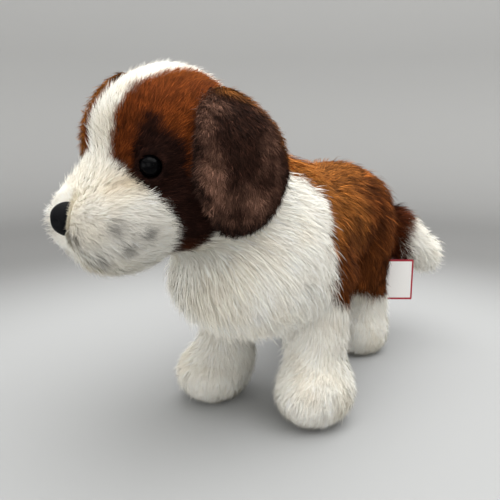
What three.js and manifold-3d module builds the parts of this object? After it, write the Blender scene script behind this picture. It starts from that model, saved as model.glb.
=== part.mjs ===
// Plush Saint Bernard puppy, standing on four feet with its head turned to its right.
// Millimetres, +Z up. The dog faces -Y, its left side is +X, and the floor is z = 0.
// Each stuffed piece is a smooth blend of rounded forms, out to the tips of the pile.
import * as THREE from 'three';
import Module from 'manifold-3d';

const wasm = await Module();
wasm.setup();

// Clearances and facet sizes
const GAP = 0.3;
const PILE_CLEARANCE = 1.2;
const BODY_GRID = 14.4;
const LEG_GRID = 12.4;
const HEAD_GRID = 11;
const TAIL_GRID = 10;
const CELL_SHARE = 0.46;
const BALL_SEGMENTS = 16;
const BALL_RINGS = 9;

// Trunk, from the deep chest to the lower rump
const CHEST_POINT = [0, -58, 150];
const CHEST_RADIUS = 60;
const LOIN_POINT = [0, 62, 154];
const LOIN_RADIUS = 54;
const BIB_POINT = [-9, -103, 127];
const BIB_RADII = [66, 58, 52];
const RUMP_POINT = [6, 104, 150];
const RUMP_RADII = [50, 48, 48];
const TRUNK_BLEND = 30;

// Neck, leaning forwards and to the dog's right
const NECK_LOW_POINT = [-6, -96, 168];
const NECK_HIGH_POINT = [-28, -132, 204];
const NECK_LOW_RADIUS = 58;
const NECK_HIGH_RADIUS = 50;

// Front legs
const FRONT_SHOULDER_POINT = [36, -60, 122];
const FRONT_SHOULDER_RADIUS = 34;
const FRONT_WRIST_POINT = [44, -74, 44];
const FRONT_WRIST_RADIUS = 27;
const FRONT_FOOT_POINT = [49, -86, 26];
const FRONT_FOOT_RADII = [34, 38, 29];

// Hind legs
const HIND_THIGH_POINT = [32, 80, 116];
const HIND_THIGH_RADII = [30, 42, 54];
const HIND_HOCK_POINT = [32, 92, 60];
const HIND_HOCK_RADIUS = 25;
const HIND_FOOT_POINT = [34, 86, 24];
const HIND_FOOT_RADII = [28, 35, 27];
const LEG_BLEND = 16;
const FOOT_BLEND = 14;

// Tail, hanging back and to the dog's left
const TAIL_ROOT_POINT = [14, 120, 148];
const TAIL_BEND_POINT = [46, 150, 124];
const TAIL_END_POINT = [75, 166, 102];
const TAIL_ROOT_RADIUS = 24;
const TAIL_BEND_RADIUS = 22;
const TAIL_END_RADIUS = 21;
const TAIL_BLEND = 26;

// Head, in its own frame: centre of the skull, -Y to the nose, +X to the left ear
const HEAD_POINT = [-38, -162, 229];
const HEAD_YAW = -28;
const SKULL_RADII = [54, 57, 58];
const BROW_POINT = [18, -26, 8];
const BROW_RADIUS = 27;
const CHEEK_POINT = [28, -4, -36];
const CHEEK_RADII = [30, 42, 38];
const MUZZLE_POINT = [0, -50, -44];
const MUZZLE_RADII = [42, 28, 34];
const FLEW_POINT = [21, -50, -52];
const FLEW_RADII = [22, 40, 30];
const CHIN_POINT = [0, -42, -70];
const CHIN_RADII = [26, 30, 18];
const FACE_BLEND = 18;
const EDGE_BLEND = 6;

// Nose and eyes, in the head's frame
const NOSE_POINT = [0, -75.5, -47];
const NOSE_RADII = [14, 9, 13.5];
const NOSE_DISH_POINT = [0, -93, -46];
const NOSE_DISH_RADII = [18, 16.5, 18];
const EYE_POINT = [41, -34.6, -12];
const EYE_RADIUS = 8;

// Ears: drop flaps, in the head's frame
const EAR_ROOT_POINT = [41, 24, 43];
const EAR_LENGTH = 106;
const EAR_WIDTH = 82;
const EAR_THICKNESS = 12;
const EAR_FULLNESS = 0.5;
const EAR_TAPER = 0.05;
const EAR_BOW = 10;
const EAR_SPLAY = 9;
const RIGHT_EAR_SHIFT = -27;
const RIGHT_EAR_LIFT = 14;
const RIGHT_EAR_SPLAY = 12;
const RIGHT_EAR_PITCH = 5;
const EAR_SEGMENTS = 26;
const EAR_RINGS = 9;
const EAR_LIFT_PASSES = 12;

// Swing tag, hung from the rump by a plastic tack
const TAG_WIDTH = 36;
const TAG_HEIGHT = 46;
const TAG_THICKNESS = 0.8;
const TAG_CORNER_RADIUS = 1.5;
const TAG_MIDDLE_POINT = [60, 127, 73];
const TAG_TURN = 28;
const TAG_HOLE_RADIUS = 2;
const TAG_HOLE_INSET = 5;
const TACK_THICKNESS = 1;
const TACK_ROOT_POINT = [34, 126, 109];
const TACK_BAR_LENGTH = 8;
const TACK_REACH = 3;

// Cuts between the stuffed pieces
const NECK_TOP_CUT = [-22, -124, 196];
const NECK_TOP_NORMAL = [-0.3, -0.75, 0.59];
const NECK_BASE_CUT = [-6, -96, 168];
const NECK_BASE_NORMAL = [-0.15, -0.72, 0.68];
const HIP_CUT_Z = 74;
const HIP_CUT_TURN = 42;
const LEG_DIVIDE_Y = 10;
const BIB_CUT = [0, -118, 60];
const BIB_CUT_NORMAL = [0, 0.94, -0.33];
const WORLD = 800;

// Low and high corner of the box that each piece is faceted in; a leg's is about its foot
const HEAD_BOX = [[-170, -300, 90], [110, -40, 320]];
const NECK_BOX = [[-150, -260, 60], [110, 20, 310]];
const TRUNK_BOX = [[-110, -190, 20], [110, 190, 300]];
const TAIL_BOX = [[-60, 70, 60], [120, 240, 220]];
const LEG_BOX = [[-72, -96, -56], [72, 96, 164]];

// Middle of the whole toy's outline on the floor, which becomes the origin
const FLOOR_CENTRE = [-11, -33, 0];

// Colours of the pile and trims
const WHITE_PLUSH = 0xf1eee8;
const RUST_PLUSH = 0x8a4a20;
const BROWN_PLUSH = 0x3d2820;
const BLACK_PLASTIC = 0x0d0d0e;
const TAG_CARD = 0xf2f0ee;

function ellipsoid([cx, cy, cz], [rx, ry, rz]) {
  return (x, y, z) => {
    const px = (x - cx) / rx;
    const py = (y - cy) / ry;
    const pz = (z - cz) / rz;
    const reach = Math.hypot(px, py, pz);
    const slope = Math.hypot(px / rx, py / ry, pz / rz);
    return reach < 1e-6 ? -Math.min(rx, ry, rz) : reach * (reach - 1) / slope;
  };
}

// A rounded cone between two points, with a radius at each
function roundCone(start, end, startRadius, endRadius) {
  const along = end.map((value, i) => value - start[i]);
  const lengthSquared = along.reduce((sum, value) => sum + value * value, 0);
  return (x, y, z) => {
    const dx = x - start[0];
    const dy = y - start[1];
    const dz = z - start[2];
    const share = (dx * along[0] + dy * along[1] + dz * along[2]) / lengthSquared;
    const t = Math.min(1, Math.max(0, share));
    const away = Math.hypot(dx - t * along[0], dy - t * along[1], dz - t * along[2]);
    return away - (startRadius + (endRadius - startRadius) * t);
  };
}

function blend(forms, width) {
  return (x, y, z) => {
    let distance = forms[0](x, y, z);
    for (const form of forms.slice(1)) {
      const other = form(x, y, z);
      const overlap = Math.max(width - Math.abs(distance - other), 0) / width;
      distance = Math.min(distance, other) - overlap * overlap * width / 4;
    }
    return distance;
  };
}

// Takes one form away from another, with a rounded edge
function without(form, tool) {
  const both = blend([(x, y, z) => -form(x, y, z), tool], EDGE_BLEND);
  return (x, y, z) => -both(x, y, z);
}

function mirrored([x, y, z], side) {
  return [side * x, y, z];
}

// Places a form that is given in a local frame
function placed(form, frame) {
  const m = frame.clone().invert().elements;
  return (x, y, z) => form(
    m[0] * x + m[4] * y + m[8] * z + m[12],
    m[1] * x + m[5] * y + m[9] * z + m[13],
    m[2] * x + m[6] * y + m[10] * z + m[14],
  );
}

// A frame at a point, pitched about its x axis, rolled about y and turned about the vertical
function turned(point, yaw, roll, pitch = 0) {
  const angles = new THREE.Euler(
    THREE.MathUtils.degToRad(pitch),
    THREE.MathUtils.degToRad(roll),
    THREE.MathUtils.degToRad(yaw),
    'ZXY',
  );
  return new THREE.Matrix4().makeRotationFromEuler(angles).setPosition(...point);
}

const headFrame = turned(HEAD_POINT, HEAD_YAW, 0);

function headForm() {
  const skull = ellipsoid([0, 0, 0], SKULL_RADII);
  const sides = [1, -1].flatMap((side) => [
    roundCone(mirrored(BROW_POINT, side), [0, 0, 0], BROW_RADIUS, BROW_RADIUS),
    ellipsoid(mirrored(CHEEK_POINT, side), CHEEK_RADII),
    ellipsoid(mirrored(FLEW_POINT, side), FLEW_RADII),
  ]);
  const muzzle = ellipsoid(MUZZLE_POINT, MUZZLE_RADII);
  const chin = ellipsoid(CHIN_POINT, CHIN_RADII);
  const face = blend([skull, ...sides, muzzle, chin], FACE_BLEND);
  const noseDish = ellipsoid(NOSE_DISH_POINT, NOSE_DISH_RADII);
  return placed(without(face, noseDish), headFrame);
}

function bodyForm() {
  const trunk = blend([
    roundCone(CHEST_POINT, LOIN_POINT, CHEST_RADIUS, LOIN_RADIUS),
    ellipsoid(BIB_POINT, BIB_RADII),
    ellipsoid(RUMP_POINT, RUMP_RADII),
    roundCone(NECK_LOW_POINT, NECK_HIGH_POINT, NECK_LOW_RADIUS, NECK_HIGH_RADIUS),
  ], TRUNK_BLEND);
  const legs = [1, -1].flatMap((side) => [frontLegForm(side), hindLegForm(side)]);
  return blend([trunk, ...legs], LEG_BLEND);
}

function frontLegForm(side) {
  return blend([
    roundCone(
      mirrored(FRONT_SHOULDER_POINT, side),
      mirrored(FRONT_WRIST_POINT, side),
      FRONT_SHOULDER_RADIUS,
      FRONT_WRIST_RADIUS,
    ),
    ellipsoid(mirrored(FRONT_FOOT_POINT, side), FRONT_FOOT_RADII),
  ], FOOT_BLEND);
}

function hindLegForm(side) {
  return blend([
    ellipsoid(mirrored(HIND_THIGH_POINT, side), HIND_THIGH_RADII),
    roundCone(
      mirrored(HIND_THIGH_POINT, side),
      mirrored(HIND_HOCK_POINT, side),
      HIND_HOCK_RADIUS,
      HIND_HOCK_RADIUS,
    ),
    roundCone(
      mirrored(HIND_HOCK_POINT, side),
      mirrored(HIND_FOOT_POINT, side),
      HIND_HOCK_RADIUS,
      HIND_HOCK_RADIUS,
    ),
    ellipsoid(mirrored(HIND_FOOT_POINT, side), HIND_FOOT_RADII),
  ], FOOT_BLEND);
}

function tailForm() {
  return blend([
    roundCone(TAIL_ROOT_POINT, TAIL_BEND_POINT, TAIL_ROOT_RADIUS, TAIL_BEND_RADIUS),
    roundCone(TAIL_BEND_POINT, TAIL_END_POINT, TAIL_BEND_RADIUS, TAIL_END_RADIUS),
  ], TAIL_BLEND);
}

function earFrame(side) {
  const splay = side < 0 ? RIGHT_EAR_SPLAY : EAR_SPLAY;
  const root = mirrored(EAR_ROOT_POINT, side);
  root[1] += side < 0 ? RIGHT_EAR_SHIFT : 0;
  root[2] += side < 0 ? RIGHT_EAR_LIFT : 0;
  const yaw = side < 0 ? 180 : 0;
  const pitch = side < 0 ? RIGHT_EAR_PITCH : 0;
  return headFrame.clone().multiply(turned(root, yaw, -splay, pitch));
}

// Turns a form into a closed faceted solid: one vertex in each grid cell that the surface
// crosses, pulled onto the surface, and one quad for each grid edge that it crosses
function polygonise(form, [low, high], step) {
  const counts = low.map((value, i) => Math.ceil((high[i] - value) / step) + 1);
  const inside = (x, y, z) => {
    const walls = Math.max(
      low[0] + step - x,
      x - high[0] + step,
      low[1] + step - y,
      y - high[1] + step,
      low[2] + step - z,
      z - high[2] + step,
    );
    return Math.max(form(x, y, z), walls);
  };
  const [nx, ny, nz] = counts;
  const corner = (i, j, k) => (i * ny + j) * nz + k;
  const place = (i, j, k) => [low[0] + i * step, low[1] + j * step, low[2] + k * step];
  const values = new Float64Array(nx * ny * nz);
  for (let i = 0; i < nx; i += 1) {
    for (let j = 0; j < ny; j += 1) {
      for (let k = 0; k < nz; k += 1) {
        values[corner(i, j, k)] = inside(...place(i, j, k));
      }
    }
  }
  const vertices = [];
  const cellVertex = new Map();
  const offsets = [0, 1].flatMap((a) => [0, 1].flatMap((b) => [0, 1].map((c) => [a, b, c])));
  for (let i = 0; i < nx - 1; i += 1) {
    for (let j = 0; j < ny - 1; j += 1) {
      for (let k = 0; k < nz - 1; k += 1) {
        const point = crossingPoint(offsets, values, corner, place, i, j, k);
        if (point) {
          cellVertex.set(corner(i, j, k), vertices.length / 3);
          const middle = place(i + 0.5, j + 0.5, k + 0.5);
          vertices.push(...keptNear(middle, pulledOnto(inside, point, step), CELL_SHARE * step));
        }
      }
    }
  }
  const triangles = [];
  const axes = [[1, 0, 0], [0, 1, 0], [0, 0, 1]];
  for (let i = 1; i < nx - 1; i += 1) {
    for (let j = 1; j < ny - 1; j += 1) {
      for (let k = 1; k < nz - 1; k += 1) {
        axes.forEach((axis, n) => {
          const here = values[corner(i, j, k)];
          const there = values[corner(i + axis[0], j + axis[1], k + axis[2])];
          if (here < 0 === there < 0) {
            return;
          }
          const u = axes[(n + 1) % 3];
          const v = axes[(n + 2) % 3];
          const around = [[1, 1], [0, 1], [0, 0], [1, 0]].map(([a, b]) => cellVertex.get(
            corner(i - a * u[0] - b * v[0], j - a * u[1] - b * v[1], k - a * u[2] - b * v[2]),
          ));
          const [p, q, r, s] = here < 0 ? around : around.reverse();
          triangles.push(p, q, r, p, r, s);
        });
      }
    }
  }
  return new wasm.Manifold(new wasm.Mesh({
    numProp: 3,
    vertProperties: new Float32Array(vertices),
    triVerts: new Uint32Array(triangles),
  }));
}

// The mean of the places where the surface crosses a cell's edges
function crossingPoint(offsets, values, corner, place, i, j, k) {
  const sum = [0, 0, 0];
  let crossings = 0;
  for (const a of offsets) {
    for (let n = 0; n < 3; n += 1) {
      if (a[n] === 1) {
        continue;
      }
      const b = a.map((value, m) => (m === n ? 1 : value));
      const va = values[corner(i + a[0], j + a[1], k + a[2])];
      const vb = values[corner(i + b[0], j + b[1], k + b[2])];
      if (va < 0 === vb < 0) {
        continue;
      }
      const pa = place(i + a[0], j + a[1], k + a[2]);
      const pb = place(i + b[0], j + b[1], k + b[2]);
      const t = va / (va - vb);
      pa.forEach((value, m) => {
        sum[m] += value + t * (pb[m] - value);
      });
      crossings += 1;
    }
  }
  return crossings ? sum.map((value) => value / crossings) : null;
}

function pulledOnto(form, point, step) {
  const probe = 0.2;
  let [x, y, z] = point;
  for (let pass = 0; pass < 6; pass += 1) {
    const value = form(x, y, z);
    const gx = (form(x + probe, y, z) - form(x - probe, y, z)) / (2 * probe);
    const gy = (form(x, y + probe, z) - form(x, y - probe, z)) / (2 * probe);
    const gz = (form(x, y, z + probe) - form(x, y, z - probe)) / (2 * probe);
    const slope = gx * gx + gy * gy + gz * gz;
    if (slope < 0.01) {
      break;
    }
    const move = Math.max(-step / 4, Math.min(step / 4, value / slope));
    x -= move * gx;
    y -= move * gy;
    z -= move * gz;
  }
  return [x, y, z];
}

// Keeps a vertex inside its own cell, so that no two vertices meet
function keptNear(middle, point, reach) {
  return point.map((value, i) => Math.min(middle[i] + reach, Math.max(middle[i] - reach, value)));
}

// A closed three.js geometry as a solid
function solidOf(geometry) {
  const positions = geometry.attributes.position;
  const found = new Map();
  const vertices = [];
  const remap = [];
  for (let i = 0; i < positions.count; i += 1) {
    const point = [positions.getX(i), positions.getY(i), positions.getZ(i)];
    const key = point.map((value) => value.toFixed(4)).join();
    if (!found.has(key)) {
      found.set(key, vertices.length / 3);
      vertices.push(...point);
    }
    remap.push(found.get(key));
  }
  const order = geometry.index ? [...geometry.index.array] : remap.map((_, i) => i);
  const triangles = [];
  for (let i = 0; i < order.length; i += 3) {
    const [a, b, c] = [remap[order[i]], remap[order[i + 1]], remap[order[i + 2]]];
    if (a !== b && b !== c && c !== a) {
      triangles.push(a, b, c);
    }
  }
  return new wasm.Manifold(new wasm.Mesh({
    numProp: 3,
    vertProperties: new Float32Array(vertices),
    triVerts: new Uint32Array(triangles),
  }));
}

// Everything on the side of a plane that its normal points to
function beyond(point, normal, clearance) {
  const direction = new THREE.Vector3(...normal).normalize();
  const geometry = new THREE.BoxGeometry(WORLD, WORLD, WORLD);
  geometry.translate(0, 0, WORLD / 2 + clearance);
  geometry.applyQuaternion(
    new THREE.Quaternion().setFromUnitVectors(new THREE.Vector3(0, 0, 1), direction),
  );
  geometry.translate(...point);
  return solidOf(geometry);
}

function before(point, normal, clearance) {
  return beyond(point, normal.map((value) => -value), clearance);
}

// A leg with its shoulder or thigh is all that lies outside a slanted plane from the groin
function hipWedge(side, end, clearance) {
  const turn = THREE.MathUtils.degToRad(HIP_CUT_TURN);
  const normal = [side * Math.sin(turn), 0, -Math.cos(turn)];
  const quarter = new THREE.BoxGeometry(WORLD, WORLD, WORLD);
  quarter.translate(
    side * (WORLD / 2 - clearance),
    end * (WORLD / 2 - clearance) + LEG_DIVIDE_Y,
    0,
  );
  const wedge = beyond([0, 0, HIP_CUT_Z], normal, -clearance).intersect(solidOf(quarter));
  return end < 0 ? wedge.intersect(beyond(BIB_CUT, BIB_CUT_NORMAL, -clearance)) : wedge;
}

function ball(point, radii, frame) {
  const geometry = new THREE.SphereGeometry(1, BALL_SEGMENTS, BALL_RINGS);
  geometry.scale(...radii);
  geometry.rotateX(Math.PI / 2);
  geometry.translate(...point);
  geometry.applyMatrix4(frame);
  return solidOf(geometry);
}

function plush(colour) {
  return new THREE.MeshStandardMaterial({ color: colour, roughness: 0.95, metalness: 0 });
}

function moulded(colour) {
  return new THREE.MeshStandardMaterial({ color: colour, roughness: 0.15, metalness: 0 });
}

const puppy = new THREE.Group();
puppy.position.set(...FLOOR_CENTRE.map((value) => -value));

const tagHole = [-TAG_WIDTH / 2 + TAG_HOLE_INSET, TAG_HEIGHT / 2 - TAG_HOLE_INSET];
const tagFrame = new THREE.Matrix4()
  .makeRotationFromEuler(new THREE.Euler(
    Math.PI / 2,
    0,
    THREE.MathUtils.degToRad(TAG_TURN),
    'ZYX',
  ))
  .setPosition(...TAG_MIDDLE_POINT);

function addSolid(name, solid, material) {
  const { vertProperties, triVerts } = solid.getMesh();
  const geometry = new THREE.BufferGeometry();
  geometry.setAttribute('position', new THREE.BufferAttribute(vertProperties, 3));
  geometry.setIndex(new THREE.BufferAttribute(triVerts, 1));
  geometry.computeVertexNormals();
  const mesh = new THREE.Mesh(geometry, material);
  mesh.name = name;
  puppy.add(mesh);
}

const fleshForm = blend([bodyForm(), headForm()], FACE_BLEND);
const floor = before([0, 0, 0], [0, 0, 1], 0);

function eyeBall(side, clearance) {
  const radius = EYE_RADIUS + clearance;
  return ball(mirrored(EYE_POINT, side), [radius, radius, radius], headFrame);
}

function noseBall(clearance) {
  const radii = NOSE_RADII.map((value) => value + clearance);
  return ball(NOSE_POINT, radii, headFrame);
}

function makeHead() {
  let head = polygonise(fleshForm, HEAD_BOX, HEAD_GRID);
  head = head.subtract(before(NECK_TOP_CUT, NECK_TOP_NORMAL, -GAP / 2));
  for (const side of [1, -1]) {
    head = head.subtract(eyeBall(side, GAP));
  }
  addSolid('head', head.subtract(noseBall(GAP)), plush(WHITE_PLUSH));
}

function makeNeck() {
  const neck = polygonise(fleshForm, NECK_BOX, HEAD_GRID)
    .subtract(beyond(NECK_TOP_CUT, NECK_TOP_NORMAL, GAP / 2))
    .subtract(before(NECK_BASE_CUT, NECK_BASE_NORMAL, -GAP / 2));
  addSolid('neck', neck, plush(WHITE_PLUSH));
}

function makeTrunk() {
  let trunk = polygonise(fleshForm, TRUNK_BOX, BODY_GRID)
    .subtract(beyond(NECK_BASE_CUT, NECK_BASE_NORMAL, GAP / 2));
  for (const side of [1, -1]) {
    for (const end of [1, -1]) {
      trunk = trunk.subtract(hipWedge(side, end, GAP));
    }
  }
  addSolid('trunk', trunk, plush(RUST_PLUSH));
}

function makeLegs() {
  for (const [sideName, side] of [['left', 1], ['right', -1]]) {
    for (const [endName, end] of [['front', -1], ['hind', 1]]) {
      const foot = mirrored(end < 0 ? FRONT_FOOT_POINT : HIND_FOOT_POINT, side);
      const box = LEG_BOX.map((corner) => corner.map((value, i) => value + foot[i]));
      const leg = polygonise(fleshForm, box, LEG_GRID)
        .intersect(hipWedge(side, end, 0))
        .subtract(beyond(NECK_BASE_CUT, NECK_BASE_NORMAL, -GAP))
        .subtract(floor);
      addSolid(`leg_${endName}_${sideName}`, leg, plush(WHITE_PLUSH));
    }
  }
}

function makeTail() {
  const fleshWithRoom = (x, y, z) => fleshForm(x, y, z) - PILE_CLEARANCE;
  const form = without(tailForm(), fleshWithRoom);
  const tail = polygonise(form, TAIL_BOX, TAIL_GRID);
  addSolid('tail', tail, plush(RUST_PLUSH));
}

// How far out along its own first axis an ear has to move to lie on the head or neck
function earLift(inner, frame) {
  let lift = 0;
  for (let pass = 0; pass < EAR_LIFT_PASSES; pass += 1) {
    const place = new THREE.Vector3(inner.x + lift, inner.y, inner.z).applyMatrix4(frame);
    lift += Math.max(PILE_CLEARANCE - fleshForm(place.x, place.y, place.z), 0);
  }
  return lift;
}

// An ear is a flat rounded drop with a full rim, bowed outwards and draped over the head
function makeEar(name, side) {
  const frame = earFrame(side);
  const geometry = new THREE.SphereGeometry(1, EAR_SEGMENTS, EAR_RINGS);
  geometry.rotateZ(-Math.PI / 2);
  const positions = geometry.attributes.position;
  const point = new THREE.Vector3();
  for (let i = 0; i < positions.count; i += 1) {
    point.fromBufferAttribute(positions, i);
    const bow = EAR_BOW * (1 - point.z * point.z);
    const half = EAR_THICKNESS / 2 * Math.abs(point.x) ** EAR_FULLNESS;
    const y = point.y * EAR_WIDTH / 2 * (1 - EAR_TAPER * (1 + point.z));
    const z = (point.z - 1) * EAR_LENGTH / 2;
    const lift = earLift(new THREE.Vector3(bow - half, y, z), frame);
    point.set(bow + Math.sign(point.x) * half + lift, y, z).applyMatrix4(frame);
    positions.setXYZ(i, point.x, point.y, point.z);
  }
  addSolid(name, solidOf(geometry), plush(BROWN_PLUSH));
}

// A card with rounded corners and a punched hole, standing upright
function makeTag() {
  const halfWidth = TAG_WIDTH / 2;
  const halfHeight = TAG_HEIGHT / 2;
  const r = TAG_CORNER_RADIUS;
  const card = new THREE.Shape();
  card.moveTo(-halfWidth + r, -halfHeight);
  card.lineTo(halfWidth - r, -halfHeight);
  card.quadraticCurveTo(halfWidth, -halfHeight, halfWidth, -halfHeight + r);
  card.lineTo(halfWidth, halfHeight - r);
  card.quadraticCurveTo(halfWidth, halfHeight, halfWidth - r, halfHeight);
  card.lineTo(-halfWidth + r, halfHeight);
  card.quadraticCurveTo(-halfWidth, halfHeight, -halfWidth, halfHeight - r);
  card.lineTo(-halfWidth, -halfHeight + r);
  card.quadraticCurveTo(-halfWidth, -halfHeight, -halfWidth + r, -halfHeight);
  const hole = new THREE.Path();
  hole.absarc(tagHole[0], tagHole[1], TAG_HOLE_RADIUS, 0, 2 * Math.PI, true);
  card.holes.push(hole);
  const geometry = new THREE.ExtrudeGeometry(card, {
    depth: TAG_THICKNESS,
    bevelEnabled: false,
    curveSegments: 4,
  });
  geometry.translate(0, 0, -TAG_THICKNESS / 2);
  geometry.applyMatrix4(tagFrame);
  addSolid('tag', solidOf(geometry), plush(TAG_CARD));
}

// A thin filament through the hole, with a cross bar in front of the card
function makeTack() {
  const holeMiddle = new THREE.Vector3(...tagHole, 0).applyMatrix4(tagFrame);
  const front = new THREE.Vector3(...tagHole, TACK_REACH).applyMatrix4(tagFrame);
  const back = new THREE.Vector3(...tagHole, -TACK_REACH).applyMatrix4(tagFrame);
  const path = new THREE.CatmullRomCurve3([
    new THREE.Vector3(...TACK_ROOT_POINT),
    back,
    holeMiddle,
    front,
  ]);
  const across = new THREE.Vector3(1, 0, 0).transformDirection(tagFrame);
  across.multiplyScalar(TACK_BAR_LENGTH / 2);
  const bar = new THREE.LineCurve3(front.clone().sub(across), front.clone().add(across));
  const tack = rod(path, TACK_THICKNESS / 2, 10).add(rod(bar, TACK_THICKNESS / 2, 1));
  addSolid('tag_tack', tack, moulded(TAG_CARD));
}

function rod(path, radius, steps) {
  const section = new THREE.Shape();
  section.absarc(0, 0, radius, 0, 2 * Math.PI, false);
  return solidOf(new THREE.ExtrudeGeometry(section, {
    extrudePath: path,
    steps,
    curveSegments: 3,
    bevelEnabled: false,
  }));
}

function makeEyesAndNose() {
  addSolid('eye_left', eyeBall(1, 0), moulded(BLACK_PLASTIC));
  addSolid('eye_right', eyeBall(-1, 0), moulded(BLACK_PLASTIC));
  addSolid('nose', noseBall(0), moulded(BLACK_PLASTIC));
}

makeHead();
makeNeck();
makeTrunk();
makeLegs();
makeTail();
makeEar('ear_left', 1);
makeEar('ear_right', -1);
makeEyesAndNose();
makeTag();
makeTack();

export default puppy;
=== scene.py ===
# A plush Saint Bernard puppy standing on four feet: a stuffed skin, pile in locks over it,
# plastic eyes and nose, and a card tag. Metres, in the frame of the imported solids: the dog
# faces -Y, its left side is +X and the floor is z = 0.
import math

import bmesh
import bpy
import numpy as np
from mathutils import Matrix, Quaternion, Vector
from mathutils.kdtree import KDTree


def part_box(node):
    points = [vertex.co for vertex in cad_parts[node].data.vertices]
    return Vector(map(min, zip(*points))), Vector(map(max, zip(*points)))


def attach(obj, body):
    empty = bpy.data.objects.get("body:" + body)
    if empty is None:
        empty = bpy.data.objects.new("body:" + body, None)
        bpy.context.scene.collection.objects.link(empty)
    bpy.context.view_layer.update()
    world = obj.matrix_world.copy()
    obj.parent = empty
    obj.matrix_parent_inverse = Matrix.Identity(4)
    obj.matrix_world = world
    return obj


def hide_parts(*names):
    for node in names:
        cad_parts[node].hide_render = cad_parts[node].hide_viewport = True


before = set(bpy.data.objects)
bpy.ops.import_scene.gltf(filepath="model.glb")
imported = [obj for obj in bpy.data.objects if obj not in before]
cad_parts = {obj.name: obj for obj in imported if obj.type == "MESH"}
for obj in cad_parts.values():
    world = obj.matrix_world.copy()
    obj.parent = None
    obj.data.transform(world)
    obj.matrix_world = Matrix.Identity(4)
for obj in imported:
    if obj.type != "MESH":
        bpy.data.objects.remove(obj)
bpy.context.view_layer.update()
random = np.random.default_rng(11)
MM = 0.001

# Camera: at the photograph's angle and distance
CAMERA_AZIMUTH = 28
CAMERA_ELEVATION = 12
CAMERA_DISTANCE = 552.75 * MM
CAMERA_TARGET = Vector((-22.35, -13.75, 130)) * MM
CAMERA_LENS_MM = 43.2

# Skin: the solids swell a little so that neighbours meet, and become one smoothed mesh
SKIN_VOXEL = 3 * MM
EAR_VOXEL = 2.2 * MM
SWELL = 0.5 * MM
SKIN_SMOOTHING = 40
EAR_SMOOTHING = 12
SUNK_SMOOTHING = 8
# How far the top of each ear is drawn in to the head, in millimetres; the right one stands out
EAR_ROOT_TUCK = {"ear_left": 8, "ear_right": -11}
EAR_TUCK_FADES = (5, 38)
FLESH = [
    "head",
    "neck",
    "trunk",
    "leg_front_left",
    "leg_front_right",
    "leg_hind_left",
    "leg_hind_right",
    "tail",
]
EARS = ["ear_left", "ear_right"]
PARTS = FLESH + EARS

# Depth of the coat and length of its pile, in millimetres
COAT_DEPTH = dict(
    face=6.0,
    back_of_head=7.0,
    muzzle=7.0,
    neck=11.0,
    trunk=11.5,
    leg=8.5,
    foot=7.0,
    tail=11.5,
    ear=3.6,
)
PILE_LENGTH = dict(
    face=11.0,
    back_of_head=16.0,
    muzzle=10.0,
    neck=27.0,
    trunk=29.0,
    leg=17.0,
    foot=11.0,
    tail=22.0,
    ear=8.5,
)

# How near to the middle of an eye or the nose the coat is trimmed short, and where that ends
EYE_TRIM = (8.5, 19)
NOSE_TRIM = (19, 30)

# Eyes: a share of the solid's radius, and how far they stand above its middle
EYE_SHARE = 0.93
EYE_LIFT = 0.8 * MM

# Nose, in millimetres, with its rise and drop as shares of the solid's half height
NOSE_HALF_WIDTH = 12.8
NOSE_HALF_DEPTH = 12
NOSE_FORWARD = 1.3
NOSE_FLARE = 0.12
NOSE_RISE = 1.25
NOSE_DROP = 1.35
NOSTRIL_DEPTH = 2.6
NOSE_GROOVE_DEPTH = 1.2
BARE_HALF_WIDTH = 11
BARE_HALF_HEIGHT = 10
BARE_REACH = 20

CARD_BORDER = 2.2 * MM

# The side of a tuft's patch on the UV map, and the most triangles in a piece of the coat
PATCH = 0.003
MOST_TRIANGLES = 195000

# How light the roots of the pile are, as a share of its tips: painted shade deep in the pile
WHITE_ROOT_SHADE = 0.9
PATCH_ROOT_SHADE = 0.45
SADDLE_ROOT_SHADE = 0.35
EAR_ROOT_SHADE = 0.55

# Colours, as sRGB
WHITE = "fffbf2"
CREAM = "ecdfc4"
GOLD = "a35a1c"
RUST = "6c3413"
SADDLE = "ab6b30"
UMBER = "4c230e"
DARK = "26140f"
CHOCOLATE = "301d16"
BRUSHED_SHEEN = "9a7261"
EAR_BLACK = "170d0b"
FRECKLE = "4c4b49"
FOOT_BOTTOM_TINT = "8a7c60"
TAN = "c4a877"
EYE_BLACK = "040405"
NOSE_BLACK = "0c0c0e"
CARD = "f1efec"
CRIMSON = "a3182c"
NYLON = "e8e8e6"
FLOOR = "a2a3a3"
WALL = "a4a4a3"
HORIZON_SHADE = "747473"

# Sweep: how far from the dog the floor turns to a painted shade band, and that to the wall, in
# metres
FLOOR_TO_BAND = (0.28, 0.7)
BAND_TO_WALL = (0.9, 1.75)

# Lamps: name, place and side in metres, power in watts and fan in degrees
LAMPS = [
    ("overhead", (0.35, 0.2, 1.6), 2.2, 37, 180),
    ("front fill", (0.35, -1.15, 0.42), 0.8, 0.75, 80),
    ("low fill", (-0.55, -1.05, 0.2), 0.8, 0.9, 80),
]


def linear(code):
    """An sRGB hex colour as linear red, green and blue."""
    channels = np.array([int(code[i : i + 2], 16) for i in (0, 2, 4)]) / 255
    return np.where(channels <= 0.04045, channels / 12.92, ((channels + 0.055) / 1.055) ** 2.4)


def unit(vectors):
    size = np.linalg.norm(vectors, axis=-1, keepdims=True)
    return vectors / np.maximum(size, 1e-12)


def ease(low, high, values):
    """0 below low, 1 above high, and smooth in between."""
    share = np.clip((values - low) / (high - low), 0, 1)
    return share * share * (3 - 2 * share)


def mix(first, second, share):
    return first + (second - first) * share


def tinted(first, second, share):
    """Two colours mixed, with a share for each point."""
    return mix(first, second, np.asarray(share)[:, None])


def middle(node):
    """The middle of a node's box."""
    low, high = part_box(node)
    return np.array((low + high) / 2)


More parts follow.
